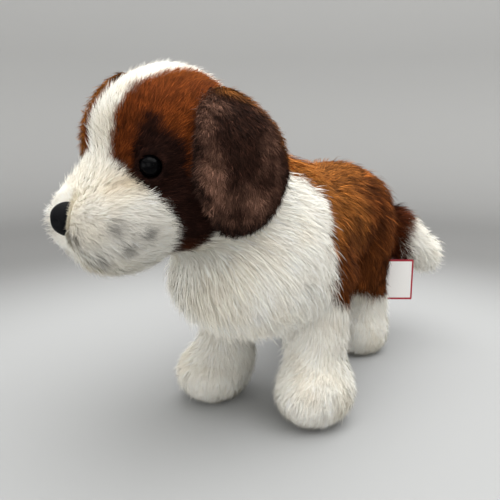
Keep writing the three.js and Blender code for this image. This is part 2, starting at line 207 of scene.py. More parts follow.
# The head's own frame: x to its left ear, y to the back of the skull, z up, in millimetres
EYE_IN_HEAD = np.array([41, -34.6, -12])
head_x = unit(middle("eye_left") - middle("eye_right"))
head_z = np.array([0.0, 0.0, 1.0])
head_y = np.cross(head_z, head_x)
head_axes = np.array([head_x, head_y, head_z])
head_middle = (
    (middle("eye_left") + middle("eye_right")) / 2
    - (EYE_IN_HEAD * [0, 1, 1]) @ head_axes * MM
)
nose_in_head = (middle("nose") - head_middle) @ head_axes.T / MM


def in_head(points):
    """Places in the head's frame, in millimetres."""
    return (points - head_middle) @ head_axes.T / MM


def from_head(points):
    """Places of the head's frame in the model's, in metres."""
    return head_middle + (np.asarray(points) * MM) @ head_axes


def remeshed(nodes, voxel):
    """The named solids as one closed mesh: corners, triangles and edges."""
    work = bmesh.new()
    for node in nodes:
        work.from_mesh(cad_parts[node].data)
    bmesh.ops.remove_doubles(work, verts=work.verts, dist=1e-6)
    work.normal_update()
    for corner in work.verts:
        corner.co += corner.normal * SWELL
    mesh = bpy.data.meshes.new("work")
    work.to_mesh(mesh)
    work.free()
    piece = bpy.data.objects.new("work", mesh)
    bpy.context.scene.collection.objects.link(piece)
    remesh = piece.modifiers.new("voxels", "REMESH")
    remesh.mode = "VOXEL"
    remesh.voxel_size = voxel
    result = bpy.data.meshes.new_from_object(
        piece.evaluated_get(bpy.context.evaluated_depsgraph_get())
    )
    arrays = mesh_arrays(result)
    bpy.data.objects.remove(piece)
    bpy.data.meshes.remove(mesh)
    bpy.data.meshes.remove(result)
    return arrays


def mesh_arrays(mesh):
    """The corners, triangles and edges of a mesh."""
    corners = np.zeros(len(mesh.vertices) * 3)
    mesh.vertices.foreach_get("co", corners)
    mesh.calc_loop_triangles()
    triangles = np.zeros(len(mesh.loop_triangles) * 3, np.int32)
    mesh.loop_triangles.foreach_get("vertices", triangles)
    edges = np.zeros(len(mesh.edges) * 2, np.int32)
    mesh.edges.foreach_get("vertices", edges)
    return corners.reshape(-1, 3), triangles.reshape(-1, 3), edges.reshape(-1, 2)


def neighbour_mean(values, edges):
    """For each corner, the mean of the values at its neighbours."""
    count = len(values)
    flat = values.reshape(count, -1)
    result = np.empty_like(flat)
    degree = np.bincount(edges.ravel(), minlength=count)
    for column in range(flat.shape[1]):
        one = flat[:, column]
        total = np.bincount(edges[:, 0], one[edges[:, 1]], count)
        total += np.bincount(edges[:, 1], one[edges[:, 0]], count)
        result[:, column] = total / np.maximum(degree, 1)
    return result.reshape(values.shape)


def spread(values, edges, rounds):
    """Values averaged over the skin, wider with more rounds."""
    for _ in range(rounds):
        values = 0.5 * values + 0.5 * neighbour_mean(values, edges)
    return values


def smoothed(corners, edges, rounds):
    """A smoother surface of the same volume."""
    for _ in range(rounds):
        corners = corners + 0.5 * (neighbour_mean(corners, edges) - corners)
        corners = corners - 0.52 * (neighbour_mean(corners, edges) - corners)
    return corners


def normals_of(corners, triangles):
    """The outward normal at each corner."""
    a, b, c = (corners[triangles[:, i]] for i in range(3))
    face = np.cross(b - a, c - a)
    total = np.zeros_like(corners)
    for i in range(3):
        for axis in range(3):
            total[:, axis] += np.bincount(triangles[:, i], face[:, axis], len(corners))
    return unit(total)


def part_shares(corners, edges):
    """How much of each flesh part a skin corner belongs to, soft across the joins."""
    places = []
    labels = []
    for index, node in enumerate(FLESH):
        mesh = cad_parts[node].data
        co = np.zeros(len(mesh.vertices) * 3)
        mesh.vertices.foreach_get("co", co)
        places.append(co.reshape(-1, 3))
        labels.append(np.full(len(mesh.vertices), index))
    places = np.concatenate(places)
    labels = np.concatenate(labels)
    tree = KDTree(len(places))
    for index, place in enumerate(places):
        tree.insert(place, index)
    tree.balance()
    nearest = np.array([tree.find(corner)[1] for corner in corners])
    shares = np.zeros((len(corners), len(PARTS)))
    shares[np.arange(len(corners)), labels[nearest]] = 1
    return spread(shares, edges, 12)


def near(points, place, inner, outer):
    """1 within inner millimetres of a place, 0 beyond outer."""
    away = np.linalg.norm(points - place, axis=1) / MM
    return 1 - ease(inner, outer, away)


# Where seams and creases draw the pile down, in millimetres: from the inner corner of each
# eye down the muzzle, in the head's frame; round the root of the tail; where the bib ends
# over a front leg; and down the front of that leg
# Along these lines the pile is also darkened with painted shade
CREASE = np.array([[38, -40, -17], [35, -53, -22], [32, -64, -25]])
TAIL_SEAM = np.array([
    [34, 100, 202],
    [50, 86, 191],
    [62, 82, 178],
    [69, 88, 155],
    [73, 100, 128],
    [74, 112, 107],
])
BIB_FOLD = np.array([
    [46, -101, 101],
    [54, -94, 105],
    [59, -81, 103],
    [69, -58, 97],
    [80, -40, 89],
])
LEG_CREASE = np.array([[51, -66, 64], [60, -73, 51], [70, -85, 39]])


def near_line(points, line, width):
    """1 on a line of places, falling away softly over a width; all in millimetres."""
    away = np.full(len(points), np.inf)
    for start, end in zip(line, line[1:]):
        step = end - start
        share = np.clip((points - start) @ step / (step @ step), 0, 1)
        away = np.minimum(away, np.linalg.norm(points - start - share[:, None] * step, axis=1))
    return np.exp(-((away / width) ** 2))


def grooves(points):
    """1 where a seam or crease draws the pile down."""
    head = in_head(points)
    head[:, 0] = np.abs(head[:, 0])
    depth = near_line(head, CREASE, 7)
    for line, width in ((TAIL_SEAM, 9), (BIB_FOLD, 6), (LEG_CREASE, 7)):
        depth = np.maximum(depth, near_line(points / MM, line, width))
    return depth


def near_trims(points):
    """How near each point is to an eye, and to the nose: 1 beside it, 0 away from it."""
    eyes = sum(near(points, middle(eye), *EYE_TRIM) for eye in ("eye_left", "eye_right"))
    return np.clip(eyes, 0, 1), near(points, middle("nose"), *NOSE_TRIM)


def coat_measure(measures, points, shares):
    """A measure of the coat at each point, blended over the parts that the point is shared by."""
    head = in_head(points)
    foot = 1 - ease(30, 60, points[:, 2] / MM)
    back_of_head = ease(-10, 40, head[:, 1])
    muzzle = 1 - ease(-52, -30, head[:, 1])
    skull = mix(measures["face"], measures["back_of_head"], back_of_head)
    values = dict(
        head=mix(skull, measures["muzzle"], muzzle),
        neck=measures["neck"],
        trunk=measures["trunk"],
        tail=measures["tail"],
        ear_left=measures["ear"],
        ear_right=measures["ear"],
    )
    leg = mix(measures["leg"], measures["foot"], foot)
    total = np.zeros(len(points))
    for index, part in enumerate(PARTS):
        total += shares[:, index] * values.get(part, leg)
    return total


def coat_fields(points, shares):
    """For each point: depth of the coat, length of its pile and how high that stands, in mm."""
    depth = coat_measure(COAT_DEPTH, points, shares)
    length = coat_measure(PILE_LENGTH, points, shares)
    eyes, nose = near_trims(points)
    depth *= (1 - 0.92 * eyes) * (1 - 0.4 * nose)
    height = depth * (1 - 0.3 * nose) * (1 - 0.6 * grooves(points))
    length *= 1 - 0.65 * eyes
    length *= 1 - 0.6 * nose
    return depth, length, height


def make_body_skin():
    """The stuffed body's skin; the nose is joined in, so that its pocket leaves no hollow."""
    corners, triangles, edges = remeshed(FLESH + ["nose"], SKIN_VOXEL)
    corners = smoothed(corners, edges, SKIN_SMOOTHING)
    shares = part_shares(corners, edges)
    depth, _, _ = coat_fields(corners, shares)
    depth = spread(depth + SWELL / MM, edges, 4)
    corners = corners - normals_of(corners, triangles) * depth[:, None] * MM
    corners = smoothed(corners, edges, SUNK_SMOOTHING)
    return corners, triangles, edges, shares


def make_ear_skin(ear):
    """An ear's skin, inside its solid by the depth of its pile."""
    corners, triangles, edges = remeshed([ear], EAR_VOXEL)
    corners = smoothed(corners, edges, EAR_SMOOTHING)
    inward = normals_of(corners, triangles) * (COAT_DEPTH["ear"] + SWELL / MM) * MM
    corners = corners - inward
    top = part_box(ear)[1].z
    outward = head_x if ear == "ear_left" else -head_x
    tuck = 1 - ease(*EAR_TUCK_FADES, (top - corners[:, 2]) / MM)
    corners = corners - outward * (tuck * EAR_ROOT_TUCK[ear] * MM)[:, None]
    shares = np.zeros((len(corners), len(PARTS)))
    shares[:, PARTS.index(ear)] = 1
    return corners, triangles, edges, shares


def joined(shells):
    """Several shells as one: corners, triangles, edges and part shares."""
    corners, triangles, edges, shares = [], [], [], []
    start = 0
    for shell in shells:
        corners.append(shell[0])
        triangles.append(shell[1] + start)
        edges.append(shell[2] + start)
        shares.append(shell[3])
        start += len(shell[0])
    return tuple(np.concatenate(rows) for rows in (corners, triangles, edges, shares))


# The place in the middle of the head that the bib's pile runs away from
BIB_CENTRE = np.array([-20, -100, 215]) * MM


def lie_of_coat(points, normals, shares, edges):
    """The direction along the skin in which the pile lies."""
    head = in_head(points)
    from_nose = unit(head - nose_in_head)
    behind = ease(-5, 55, head[:, 1])
    from_nose[:, 2] -= 1.5 * behind
    face = unit(from_nose) @ head_axes
    side = np.abs(normals[:, 0])
    count = len(points)
    ones = np.ones(count)
    trunk = np.stack([0 * ones, 1.0 * ones, -0.15 - 1.3 * side], axis=1)
    outward = np.clip((points[:, 0] / MM + 35) / 40, -1, 1)
    neck = unit(points - BIB_CENTRE) + np.stack([0.6 * outward, 0.5 * ones, -0.2 * ones], axis=1)
    foot = 1 - ease(28, 50, points[:, 2] / MM)
    leg = np.stack([0.6 * foot * normals[:, 0], -0.7 * foot, -1.0 * ones], axis=1)
    tail = np.stack([0.62 * ones, 0.4 * ones, -0.6 * ones], axis=1)
    ear_direction = {}
    for ear in EARS:
        across = (points - middle(ear)) @ head_y / MM
        ear_direction[ear] = -head_z + head_y * (across / 60)[:, None]
    fields = dict(head=face, neck=neck, trunk=trunk, tail=tail, **ear_direction)
    direction = np.zeros((count, 3))
    for index, part in enumerate(PARTS):
        direction += shares[:, index : index + 1] * unit(fields.get(part, leg))
    drift = unit(spread(random.normal(size=(count, 3)), edges, 40))
    direction = direction + 0.3 * drift
    for _ in range(6):
        direction -= normals * (direction * normals).sum(1, keepdims=True)
        direction = neighbour_mean(unit(direction), edges)
    direction -= normals * (direction * normals).sum(1, keepdims=True)
    return unit(direction)


# Freckles on the left of the muzzle, in the head's frame; the right has the same
FRECKLES = np.array([
    [46, -63, -48],
    [48, -44, -53],
    [44, -55, -61],
    [37, -69, -70],
    [31, -84, -56],
])
FRECKLE_RADIUS = 4.8


# Markings in millimetres: half the width of the blaze on each side of the face, and the front
# and lower edges of the saddle, whose front turns back above the top of the collar
BLAZE_LEFT = 19.5
BLAZE_RIGHT = 11
SADDLE_FRONT = -74
SADDLE_BOTTOM = 105
COLLAR_TOP = 204


def head_patch(head, noise):
    """1 on the coloured patch of the face, 0 on the blaze, muzzle and throat."""
    across = np.abs(head[:, 0]) + 1.3 * noise
    right = head[:, 0] < 0
    blaze = np.where(right, BLAZE_RIGHT, BLAZE_LEFT) - 0.2 * np.maximum(head[:, 1], 0)
    muzzle_edge = -62 + 38 * ease(-5, 55, -head[:, 2])
    outside = ease(-2, 2, across - blaze)
    behind = ease(-2, 2, head[:, 1] - muzzle_edge)
    rise = 0.1 * head[:, 1] + 0.9 * np.clip(head[:, 1] + 8, 0, 20)
    throat = ease(-71, -65, head[:, 2] - rise)
    return outside * behind * throat


def saddle_patch(points, noise):
    """1 on the coloured saddle and nape, 0 on the collar, belly and legs."""
    y = points[:, 1] / MM + 1.5 * noise
    z = points[:, 2] / MM + 2.5 * noise
    slope = np.where(z < COLLAR_TOP, 0.33, 1.6)
    front = SADDLE_FRONT + slope * (COLLAR_TOP - z)
    bottom = SADDLE_BOTTOM - 0.22 * (y + 32)
    return ease(-2, 2, y - front) * ease(-2, 2, z - bottom)


def soft_spot(y, z, place, reach):
    """1 at a place on a surface, falling away softly over its reach."""
    return np.exp(-(((y - place[0]) / reach[0]) ** 2) - ((z - place[1]) / reach[1]) ** 2)


def ear_colours(points, ear, noise, broad):
    """Dark brown with painted sheen on the brushed nap and painted shade, near black at the lower
    rim, gold in front.
    """
    local = (points - middle(ear)) @ head_axes.T / MM
    y, z = local[:, 1], local[:, 2]
    low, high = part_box(ear)
    half = (high.z - low.z) / 2 / MM
    # Painted sheen: a lighter streak, band and crown where the brushed nap catches the light;
    # painted shade on the upper middle
    streak = soft_spot(y, z, (-27, -6), (8, 26))
    band = soft_spot(y, z + 0.15 * y, (2, -26), (26, 11))
    crown = soft_spot(y, z, (-20, 44), (12, 14))
    shade = soft_spot(y, z, (4, 18), (20, 20))
    light = 0.95 * streak + 0.55 * band + 0.6 * crown - 0.25 * shade
    light = np.clip(light + 0.2 * broad + 0.08, 0, 1)
    colour = tinted(linear(CHOCOLATE), linear(BRUSHED_SHEEN), light * (0.65 + 0.35 * noise))
    rim = ease(0.68, 0.95, np.hypot(y / 40, z / half))
    colour = tinted(colour, linear(EAR_BLACK), rim * ease(-25, 15, -z) * 0.9)
    # Painted shadow: a near-black strip along the left ear's front edge, where it stands off the
    # head
    edge = ease(0.72, 1.0, -y / 36) * (1 - ease(20, 40, z))
    colour = tinted(colour, linear(EAR_BLACK), 0.8 * edge * (ear == "ear_left"))
    front = ease(0.0, 0.5, -y / 36) * ease(-25, 0, z) * (ear == "ear_right")
    back = ease(0.8, 1.0, np.hypot(y / 38, z / half)) * ease(-5, 10, z) * ease(-12, 4, y)
    return tinted(colour, linear(SADDLE), np.clip(0.9 * front + 0.75 * back, 0, 1))


def markings(points, shares, noise, broad):
    """The colour of the pile at each point, linear, and how light painted shade leaves its roots.
    """
    head = in_head(points)
    part = shares.argmax(1)
    white = tinted(linear(WHITE), linear(CREAM), 0.25 * np.clip(broad, 0, 1))
    colour = white.copy()
    # root: how light the painted shade leaves the roots of the pile
    root = np.full(len(points), WHITE_ROOT_SHADE)

    eye_y = head[:, 1] + 32
    eye_z = head[:, 2] + 8
    socket = 1 - ease(0.8, 1.2, np.hypot(eye_y / 14, eye_z / 22) + 0.12 * noise)
    cheek = ease(0, 12, -head[:, 2] - 14 - 0.1 * head[:, 1]) * (1 - ease(10, 30, head[:, 1]))
    cheek *= 1 - 0.3 * ease(56, 66, -head[:, 2])
    dark = np.clip(socket + cheek, 0, 1)
    # Painted light: the patch turns from rust to gold towards the crown, where the light from
    # above falls
    gold = ease(31, 60, head[:, 2]) * 0.85 + 0.08 * np.clip(broad, 0, 1)
    patch_colour = tinted(linear(RUST), linear(GOLD), np.clip(gold, 0, 1))
    patch_colour = tinted(patch_colour, linear(DARK), dark)
    patch = head_patch(head, noise) * (shares[:, PARTS.index("head")] > 0.3)
    colour = tinted(colour, patch_colour, patch)
    root = mix(root, PATCH_ROOT_SHADE, patch)

    freckles = np.zeros(len(points))
    mirrored = head * [0, 1, 1]
    mirrored[:, 0] = np.abs(head[:, 0])
    for place in FRECKLES:
        away = np.linalg.norm((mirrored - place) * [0.3, 1, 1], axis=1)
        freckles += np.exp(-((away / FRECKLE_RADIUS) ** 2))
    freckles = np.clip(freckles, 0, 1) * (1 - patch) * (part == PARTS.index("head"))
    colour = tinted(colour, linear(FRECKLE), 0.9 * freckles)

    # Painted shade: the pile is tinted tan in the seams and creases, where less light reaches
    crease = grooves(points)
    colour = tinted(colour, linear(TAN), 0.55 * crease * (1 - patch))

    body = np.isin(part, [PARTS.index(name) for name in FLESH[1:7]])
    saddle = saddle_patch(points, noise) * body
    # Painted light and shade: the saddle is lighter on top, where the light from above falls, and
    # darker umber down its sides
    fall_to_rump = 0.25 * np.maximum(points[:, 1] / MM, 0)
    top = ease(146, 222, points[:, 2] / MM + 7 * broad - fall_to_rump)
    saddle_colour = tinted(linear(UMBER), linear(SADDLE), 0.12 + 0.88 * top)
    # Painted shade: darker umber in the seams and folds of the saddle
    saddle_colour = tinted(saddle_colour, linear(UMBER), 0.8 * crease)
    colour = tinted(colour, saddle_colour, saddle)
    root = mix(root, SADDLE_ROOT_SHADE, saddle)

    tail = part == PARTS.index("tail")
    tail_low, tail_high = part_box("tail")
    reach = (points[:, 0] - tail_low.x) / (tail_high.x - tail_low.x)
    base = tail * (1 - ease(0.48, 0.54, reach + 0.02 * noise))
    colour = tinted(colour, linear(UMBER), base)
    root = mix(root, SADDLE_ROOT_SHADE, base)

    # Tan-grey on the lowest few millimetres of the feet
    foot_bottom = (1 - ease(3, 12, points[:, 2] / MM)) * (points[:, 2] < 0.02)
    colour = tinted(colour, linear(FOOT_BOTTOM_TINT), 0.75 * foot_bottom)

    for ear in EARS:
        chosen = part == PARTS.index(ear)
        if chosen.any():
            colour[chosen] = ear_colours(points[chosen], ear, noise[chosen], broad[chosen])
            root[chosen] = EAR_ROOT_SHADE
    return colour, root


def coloured_mesh(name, corners, triangles, colours, uvs=None, normals=None):
    """A smooth triangle mesh with a colour at each corner and a UV place at each face corner."""
    mesh = bpy.data.meshes.new(name)
    mesh.vertices.add(len(corners))
    mesh.vertices.foreach_set("co", corners.astype(np.float32).ravel())
    mesh.loops.add(triangles.size)
    mesh.loops.foreach_set("vertex_index", triangles.astype(np.int32).ravel())
    mesh.polygons.add(len(triangles))
    mesh.polygons.foreach_set("loop_start", np.arange(0, triangles.size, 3, dtype=np.int32))
    mesh.polygons.foreach_set("use_smooth", np.ones(len(triangles), bool))
    mesh.update(calc_edges=True)
    layer = mesh.color_attributes.new("pile", "FLOAT_COLOR", "POINT")
    rgba = np.ones((len(corners), 4), np.float32)
    rgba[:, :3] = colours
    layer.data.foreach_set("color", rgba.ravel())
    if uvs is not None:
        mesh.uv_layers.new(name="OFBake").data.foreach_set("uv", uvs.astype(np.float32).ravel())
    if normals is not None:
        mesh.normals_split_custom_set_from_vertices(normals.astype(np.float32))
    piece = bpy.data.objects.new(name, mesh)
    bpy.context.scene.collection.objects.link(piece)
    return piece


def unwrapped(piece):
    """Lays the skin's own surface out flat in islands, and returns a UV place per face corner."""
    bpy.context.view_layer.objects.active = piece
    piece.select_set(True)
    piece.data.uv_layers.new(name="OFBake")
    bpy.ops.object.mode_set(mode="EDIT")
    bpy.ops.mesh.select_all(action="SELECT")
    bpy.ops.uv.smart_project(angle_limit=math.radians(66), island_margin=0.004)
    bpy.ops.object.mode_set(mode="OBJECT")
    piece.select_set(False)
    layer = piece.data.uv_layers["OFBake"]
    places = np.zeros(len(layer.data) * 2)
    layer.data.foreach_get("uv", places)
    return places.reshape(-1, 3, 2)


class Roots:
    """Places scattered over the skin, with what the skin carries there."""

    def __init__(self, skin, chosen, density, most):
        corners, triangles = skin["corners"], skin["triangles"]
        a, b, c = (corners[triangles[:, i]] for i in range(3))
        area = np.linalg.norm(np.cross(b - a, c - a), axis=1) / 2 / MM**2
        weight = area * chosen * density
        count = min(int(weight.sum()), most)
        self.face = random.choice(len(triangles), count, p=weight / weight.sum())
        first, second = random.random((2, count))
        fold = first + second > 1
        first, second = np.where(fold, 1 - first, first), np.where(fold, 1 - second, second)
        self.weights = np.stack([1 - first - second, first, second], axis=1)
        self.triangles = triangles[self.face]
        self.count = count
        self.place = self.carried(corners)
        self.normal = unit(self.carried(skin["normals"]))
        lie = self.carried(skin["lie"])
        lie -= self.normal * (lie * self.normal).sum(1, keepdims=True)
        self.lie = unit(lie)
        self.height = self.carried(skin["height"])
        self.length = self.carried(skin["length"])
        self.shares = self.carried(skin["shares"])
        self.noise = self.carried(skin["noise"])
        self.broad = self.carried(skin["broad"])
        self.uv = (skin["uv"][self.face] * self.weights[:, :, None]).sum(1)

    def carried(self, values):
        rows = values[self.triangles]
        weights = self.weights.reshape(self.weights.shape + (1,) * (rows.ndim - 2))
        return (rows * weights).sum(1)


def lock_heads(roots, tufts_in_lock):
    """The index of the tuft that each tuft's lock gathers towards."""
    count = max(1, int(roots.count / tufts_in_lock))
    heads = random.choice(roots.count, count, replace=False)
    tree = KDTree(count)
    for index, head in enumerate(heads):
        tree.insert(roots.place[head], index)
    tree.balance()
    return np.array([heads[tree.find(place)[1]] for place in roots.place])


# How fast red, green and blue fall towards the roots of the pile, tinting the painted shade there
# warm
ROOT_SHADE_TINT = np.array([0.9, 1.0, 1.35])


def tuft_arrays(roots, style):
    """Thin tapered tufts, curved over the skin and drawn together in locks."""
    count = roots.count
    steps = np.linspace(0, 1, style["segments"] + 1)
    length = roots.length * random.uniform(0.7, 1.12, count)
    height = roots.height * random.uniform(0.55, 1.08, count)
    turn = np.radians(random.normal(0, style["turn"], count))[:, None]
    side = np.cross(roots.normal, roots.lie)
    along = unit(roots.lie * np.cos(turn) + side * np.sin(turn))
    side = np.cross(roots.normal, along)
    heads = lock_heads(roots, style["lock"])
    stray = random.random(count) < style["strays"]
    height = height * np.where(stray, 1.35, 1.0)
    pull = style["pull"] * random.uniform(0.6, 1.0, count) * ~stray
    droop = style["droop"] * length

    def centre(share):
        rise = 1 - (1 - share) ** 1.8
        place = roots.place + along * (length * share * MM)[:, None]
        place += roots.normal * ((height * rise - 0.4) * MM)[:, None]
        place[:, 2] -= droop * share**2 * MM
        return place

    rings = []
    for share in steps:
        own = centre(share)
        gathered = own[heads]
        amount = (pull * share**1.3)[:, None]
        rings.append(own + (gathered - own) * amount)
    rings = np.stack(rings, axis=1)
    rings[:, :, 2] = np.maximum(rings[:, :, 2], 0.3 * MM)

    roll = np.radians(random.uniform(-55, 55, count))[:, None]
    across = side * np.cos(roll) + roots.normal * np.sin(roll)
    facing = unit(np.cross(along, across))
    facing *= np.sign((facing * roots.normal).sum(1, keepdims=True))
    width = style["width"] * random.uniform(0.75, 1.25, count)
    taper = np.array(style["taper"])
    offset = across[:, None] * (width[:, None] * taper[None, :-1] * MM / 2)[:, :, None]
    pairs = np.stack([rings[:, :-1] - offset, rings[:, :-1] + offset], axis=2)
    corners = np.concatenate([pairs.reshape(count, -1, 3), rings[:, -1:]], axis=1)

    segments = style["segments"]
    pattern = []
    for k in range(segments - 1):
        low, high = 2 * k, 2 * k + 2
        pattern += [(low, low + 1, high + 1), (low, high + 1, high)]
    pattern.append((2 * segments - 2, 2 * segments - 1, 2 * segments))
    pattern = np.array(pattern)
    per_tuft = 2 * segments + 1
    triangles = pattern[None] + (np.arange(count) * per_tuft)[:, None, None]
    wrong = (np.cross(across, along) * roots.normal).sum(1) < 0
    triangles[wrong] = triangles[wrong][:, :, ::-1]

    blend = style["softness"]
    normals = unit(roots.normal * blend + facing * (1 - blend))
    normals = np.repeat(normals, per_tuft, axis=0)

    ring_of = np.append(np.repeat(steps[:-1], 2), 1.0)
    colour, root_shade = markings(roots.place, roots.shares, roots.noise, roots.broad)
    change = 0.7 * random.normal(0, 1, count) + 0.7 * random.normal(0, 1, count)[heads]
    change = np.exp(change * style["variety"] * (1.1 - colour.max(1)))
    colour = np.clip(colour * change[:, None], 0, 1)
    # Painted shade: each tuft darkens from its tip to its root, and grows warmer as it does
    lightness = root_shade[:, None] + (1 - root_shade[:, None]) * ring_of[None] ** 0.8
    colours = colour[:, None] * lightness[:, :, None] ** ROOT_SHADE_TINT

    step_across = np.append(np.tile([-0.5, 0.5], segments), 0.0)
    spots = np.stack([step_across, ring_of - 0.5], axis=1) * PATCH
    uv = roots.uv[:, None, None] + spots[pattern][None]
    uv = np.where(wrong[:, None, None, None], uv[:, :, ::-1], uv)
    return (
        corners.reshape(-1, 3),
        triangles.reshape(-1, 3),
        colours.reshape(-1, 3),
        uv.reshape(-1, 2),
        normals,
    )


def add(tree, kind, settings=None, inputs=None):
    """A shader node with its settings and its inputs: values, or sockets to link from."""
    node = tree.nodes.new(kind)
    for name, value in (settings or {}).items():
        setattr(node, name, value)
    for name, value in (inputs or {}).items():
        if isinstance(value, bpy.types.NodeSocket):
            tree.links.new(value, node.inputs[name])
        else:
            node.inputs[name].default_value = value
    return node


def blank_material(name):
    material = bpy.data.materials.new(name)
    material.use_nodes = True
    material.node_tree.nodes.clear()
    return material, material.node_tree


def finish_material(tree, settings):
    shader = add(tree, "ShaderNodeBsdfPrincipled", inputs=settings)
    add(tree, "ShaderNodeOutputMaterial", inputs={"Surface": shader.outputs["BSDF"]})


def rgba(code):
    return (*linear(code), 1.0)


def pile_material():
    """Acrylic plush pile: soft fibres that scatter light and show no gloss."""
    material, tree = blank_material("acrylic plush, brushed long pile")
    colour = add(tree, "ShaderNodeAttribute", {"attribute_name": "pile"})
    finish_material(tree, {
        "Base Color": colour.outputs["Color"],
        "Roughness": 0.85,
        "Specular IOR Level": 0.08,
    })
    return material


def skin_material():
    """Knitted plush backing under the pile: the same colours darkened by painted shade, with a
    fine fuzzy bump.
    """
    material, tree = blank_material("plush backing, knitted and napped")
    colour = add(tree, "ShaderNodeAttribute", {"attribute_name": "pile"})
    place = add(tree, "ShaderNodeTexCoord")
    fuzz = add(tree, "ShaderNodeTexNoise", inputs={
        "Vector": place.outputs["Object"],
        "Scale": 900.0,
        "Detail": 3.0,
    })
    bump = add(tree, "ShaderNodeBump", inputs={
        "Height": fuzz.outputs["Fac"],
        "Strength": 0.6,
        "Distance": 0.0006,
    })
    finish_material(tree, {
        "Base Color": colour.outputs["Color"],
        "Roughness": 0.9,
        "Specular IOR Level": 0.08,
        "Normal": bump.outputs["Normal"],
    })
    return material


def plastic_material(name, code, roughness, specular):
    """Solid-coloured moulded plastic: even, with the gloss that its mould gave it."""
    material, tree = blank_material(name)
    finish_material(tree, {
        "Base Color": rgba(code),
        "Roughness": roughness,
        "IOR": 1.49,
        "Specular IOR Level": specular,
    })
    return material


def card_material():
    """Coated white card, offset printed with a crimson border and otherwise bare."""
    material, tree = blank_material("coated card, printed border")
    centre = Vector(middle("tag"))
    turn = Quaternion((0, 0, 1), math.radians(-CAMERA_AZIMUTH))
    place = add(tree, "ShaderNodeTexCoord")
    local = add(tree, "ShaderNodeMapping", inputs={
        "Vector": place.outputs["Object"],
        "Location": -(turn @ centre),
        "Rotation": (0, 0, math.radians(-CAMERA_AZIMUTH)),
    })
    axes = add(tree, "ShaderNodeSeparateXYZ", inputs={"Vector": local.outputs["Vector"]})
    low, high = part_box("tag")
    half_width = math.hypot(high.x - low.x, high.y - low.y) / 2
    half_height = (high.z - low.z) / 2
    beyond = []
    for axis, half in (("X", half_width), ("Z", half_height)):
        size = add(tree, "ShaderNodeMath", {"operation": "ABSOLUTE"}, {0: axes.outputs[axis]})
        beyond.append(add(tree, "ShaderNodeMath", {"operation": "GREATER_THAN"}, {
            0: size.outputs[0],
            1: half - CARD_BORDER,
        }))
    edge = add(tree, "ShaderNodeMath", {"operation": "MAXIMUM"}, {
        0: beyond[0].outputs[0],
        1: beyond[1].outputs[0],
    })
    ink = add(tree, "ShaderNodeMix", {"data_type": "RGBA"}, {
        0: edge.outputs[0],
        6: rgba(CARD),
        7: rgba(CRIMSON),
    })
    finish_material(tree, {
        "Base Color": ink.outputs[2],
        "Roughness": 0.35,
        "Coat Weight": 0.3,
        "Coat Roughness": 0.15,
    })
    return material


def stage_material():
    """Matte paper sweep: pale under the dog, grey with painted shade where it bends up, and paler
    on the wall.
    """
    material, tree = blank_material("matte paper sweep")
    place = add(tree, "ShaderNodeTexCoord")
    away = add(tree, "ShaderNodeVectorMath", {"operation": "LENGTH"}, {
        0: place.outputs["Object"],
    })
    bend = add(tree, "ShaderNodeMapRange", {"interpolation_type": "SMOOTHSTEP"}, {
        "Value": away.outputs["Value"],
        "From Min": FLOOR_TO_BAND[0],
        "From Max": FLOOR_TO_BAND[1],
    })
    lower = add(tree, "ShaderNodeMix", {"data_type": "RGBA"}, {
        0: bend.outputs["Result"],
        6: rgba(FLOOR),
        7: rgba(HORIZON_SHADE),
    })
    above = add(tree, "ShaderNodeMapRange", {"interpolation_type": "SMOOTHSTEP"}, {
        "Value": away.outputs["Value"],
        "From Min": BAND_TO_WALL[0],
        "From Max": BAND_TO_WALL[1],
    })
    paper = add(tree, "ShaderNodeMix", {"data_type": "RGBA"}, {
        0: above.outputs["Result"],
        6: lower.outputs[2],
        7: rgba(WALL),
    })
    finish_material(tree, {"Base Color": paper.outputs[2], "Roughness": 0.95})
    return material


def lathe_stage():
    """A round floor that sweeps up into a wall all round the object."""
    floor_radius = 1.1
    bend = 0.45
    wall_top = 1.3
    outline = [(0.0, 0.0), (0.5, 0.0), (floor_radius, 0.0)]
    for k in range(1, 9):
        angle = math.radians(90 * k / 8)
        outline.append((floor_radius + bend * math.sin(angle), bend * (1 - math.cos(angle))))
    outline.append((floor_radius + bend, wall_top))
    around = 96
    work = bmesh.new()
    rings = []
    for radius, height in outline[1:]:
        ring = []
        for k in range(around):
            angle = 2 * math.pi * k / around
            place = (radius * math.cos(angle), radius * math.sin(angle), height)
            ring.append(work.verts.new(place))
        rings.append(ring)
    work.faces.new(rings[0])
    for inner, outer in zip(rings, rings[1:]):
        for k in range(around):
            n = (k + 1) % around
            work.faces.new((inner[k], outer[k], outer[n], inner[n]))
    mesh = bpy.data.meshes.new("sweep")
    work.to_mesh(mesh)
    work.free()
    mesh.shade_smooth()
    stage = bpy.data.objects.new("sweep", mesh)
    bpy.context.scene.collection.objects.link(stage)
    mesh.materials.append(stage_material())


def make_lights():
    """A broad soft lamp overhead, two weak ones low in front, and a pale room around them."""
    world = bpy.data.worlds.new("studio")
    bpy.context.scene.world = world
    world.use_nodes = True
    background = world.node_tree.nodes["Background"]
    background.inputs["Color"].default_value = (1.0, 0.99, 0.97, 1)
    background.inputs["Strength"].default_value = 1.35
    for name, place, size, power, fan in LAMPS:
        lamp = bpy.data.lights.new(name, "AREA")
        lamp.size = size
        lamp.energy = power
        lamp.spread = math.radians(fan)
        holder = bpy.data.objects.new(name, lamp)
        bpy.context.scene.collection.objects.link(holder)
        holder.location = place
        holder.visible_camera = False
        aim = Vector((0, 0, 0.1)) - Vector(place)
        holder.rotation_mode = "QUATERNION"
        holder.rotation_quaternion = aim.to_track_quat("-Z", "Y")


